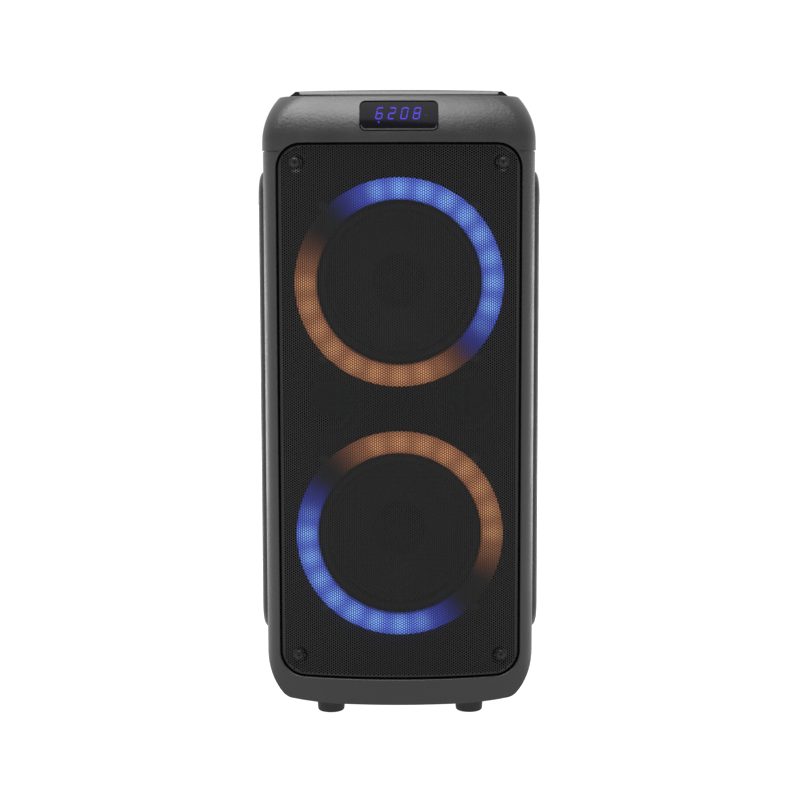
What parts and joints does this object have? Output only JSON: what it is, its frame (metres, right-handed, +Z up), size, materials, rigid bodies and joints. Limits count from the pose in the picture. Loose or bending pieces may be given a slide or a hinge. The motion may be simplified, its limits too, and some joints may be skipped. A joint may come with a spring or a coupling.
{
  "type": "party speaker",
  "caption": "Tower party speaker with stacked woofers behind a bowed perforated grille, lit rings, reflex ports, display, top controls and carry handle.",
  "frame": {"origin": "under the middle of the speaker, on the surface that its feet stand on", "axes": "+Z up, the front grille faces -Y, +X to the right of someone who looks at the front"},
  "size_m": [0.2952, 0.2714, 0.6545],
  "materials": {
    "shell_plastic": "satin, fine grain, dark grey",
    "side_plastic": "satin, fine grain, darker grey",
    "grille_steel": "satin black powder coat",
    "black_screws": "black oxide",
    "baffle_board": "matt black",
    "ring_diffuser": "frosted diffuser, lit blue and orange",
    "circuit_board": "solder mask",
    "port_plastic": "matt black",
    "window_plastic": "smoked gloss",
    "module_plastic": "matt black",
    "deck_plastic": "gloss black",
    "handle_plastic": "satin grey",
    "gloss_trim": "gloss black",
    "control_rubber": "soft touch",
    "knob_plastic": "knurled, satin",
    "panel_plastic": "matt black",
    "socket_metal": "nickel plated",
    "rocker_plastic": "gloss black",
    "battery_wrap": "shrink wrap",
    "foot_rubber": "matt",
    "basket_steel": "satin black",
    "pole_steel": "zinc plated",
    "ferrite": "matt ferrite",
    "coil_copper": "enamelled copper wire",
    "spider_cloth": "resin-dipped cloth",
    "cone_paper": "coated pulp",
    "cap_paper": "coated pulp",
    "surround_rubber": "butyl"
  },
  "bodies": {
    "cabinet": {"amplifier_board": "circuit_board", "baffle": "baffle_board", "battery_pack": "battery_wrap", "cabinet_screws": "black_screws", "carry_handle": "handle_plastic", "control_board": "circuit_board", "control_deck": "deck_plastic", "display_module": "module_plastic", "display_window": "window_plastic", "foot_front_left": "foot_rubber", "foot_front_right": "foot_rubber", "foot_rear_left": "foot_rubber", "foot_rear_right": "foot_rubber", "front_frame": "shell_plastic", "front_grille": "grille_steel", "grille_screws": "black_screws", "handle_ends": "gloss_trim", "input_panel": "panel_plastic", "led_boards": "circuit_board", "light_ring_lower": "ring_diffuser", "light_ring_upper": "ring_diffuser", "line_sockets": "socket_metal", "lower_woofer_basket": "basket_steel", "lower_woofer_magnet": "ferrite", "lower_woofer_spider": "spider_cloth", "lower_woofer_surround": "surround_rubber", "lower_woofer_top_plate": "pole_steel", "lower_woofer_yoke": "pole_steel", "mains_inlet": "module_plastic", "mic_jacks": "socket_metal", "port_tube_left": "port_plastic", "port_tube_right": "port_plastic", "power_supply_board": "circuit_board", "rear_shell": "shell_plastic", "ring_screws": "black_screws", "side_panel_left": "side_plastic", "side_panel_right": "side_plastic", "switch_housing": "module_plastic", "top_cap": "shell_plastic", "upper_woofer_basket": "basket_steel", "upper_woofer_magnet": "ferrite", "upper_woofer_spider": "spider_cloth", "upper_woofer_surround": "surround_rubber", "upper_woofer_top_plate": "pole_steel", "upper_woofer_yoke": "pole_steel", "volume_encoder": "module_plastic"},
    "upper_woofer_cone": {"upper_woofer_cone": "cone_paper", "upper_woofer_dust_cap": "cap_paper", "upper_woofer_voice_coil": "coil_copper"},
    "lower_woofer_cone": {"lower_woofer_cone": "cone_paper", "lower_woofer_dust_cap": "cap_paper", "lower_woofer_voice_coil": "coil_copper"},
    "mode_button": {"mode_button": "control_rubber"},
    "previous_button": {"previous_button": "control_rubber"},
    "play_button": {"play_button": "control_rubber"},
    "next_button": {"next_button": "control_rubber"},
    "light_button": {"light_button": "control_rubber"},
    "mic_priority_button": {"mic_priority_button": "control_rubber"},
    "volume_knob": {"volume_knob": "knob_plastic"},
    "power_rocker": {"power_rocker": "rocker_plastic"}
  },
  "joints": [
    {"name": "upper_woofer_travel", "type": "slide", "parent": "cabinet", "child": "upper_woofer_cone", "axis": [0, -1, 0], "range_m": [-0.004, 0.004], "stiffness_N_per_m": 2200, "deforming": ["upper_woofer_surround", "upper_woofer_spider"]},
    {"name": "lower_woofer_travel", "type": "slide", "parent": "cabinet", "child": "lower_woofer_cone", "axis": [0, -1, 0], "range_m": [-0.004, 0.004], "stiffness_N_per_m": 2200, "deforming": ["lower_woofer_surround", "lower_woofer_spider"]},
    {"name": "mode_button_press", "type": "slide", "parent": "cabinet", "child": "mode_button", "axis": [0, 0, -1], "range_m": [0, 0.0012], "stiffness_N_per_m": 400, "springref_m": -0.001},
    {"name": "previous_button_press", "type": "slide", "parent": "cabinet", "child": "previous_button", "axis": [0, 0, -1], "range_m": [0, 0.0012], "stiffness_N_per_m": 400, "springref_m": -0.001},
    {"name": "play_button_press", "type": "slide", "parent": "cabinet", "child": "play_button", "axis": [0, 0, -1], "range_m": [0, 0.0012], "stiffness_N_per_m": 400, "springref_m": -0.001},
    {"name": "next_button_press", "type": "slide", "parent": "cabinet", "child": "next_button", "axis": [0, 0, -1], "range_m": [0, 0.0012], "stiffness_N_per_m": 400, "springref_m": -0.001},
    {"name": "light_button_press", "type": "slide", "parent": "cabinet", "child": "light_button", "axis": [0, 0, -1], "range_m": [0, 0.0012], "stiffness_N_per_m": 400, "springref_m": -0.001},
    {"name": "mic_priority_button_press", "type": "slide", "parent": "cabinet", "child": "mic_priority_button", "axis": [0, 0, -1], "range_m": [0, 0.0012], "stiffness_N_per_m": 400, "springref_m": -0.001},
    {"name": "volume_turn", "type": "hinge", "parent": "cabinet", "child": "volume_knob", "pos_m": [0, -0.055, 0.62], "axis": [0, 0, 1], "range_deg": [-150, 150]},
    {"name": "power_rocker_tilt", "type": "hinge", "parent": "cabinet", "child": "power_rocker", "pos_m": [-0.03, 0.1282, 0.44], "axis": [1, 0, 0], "range_deg": [-16, 0]}
  ]
}
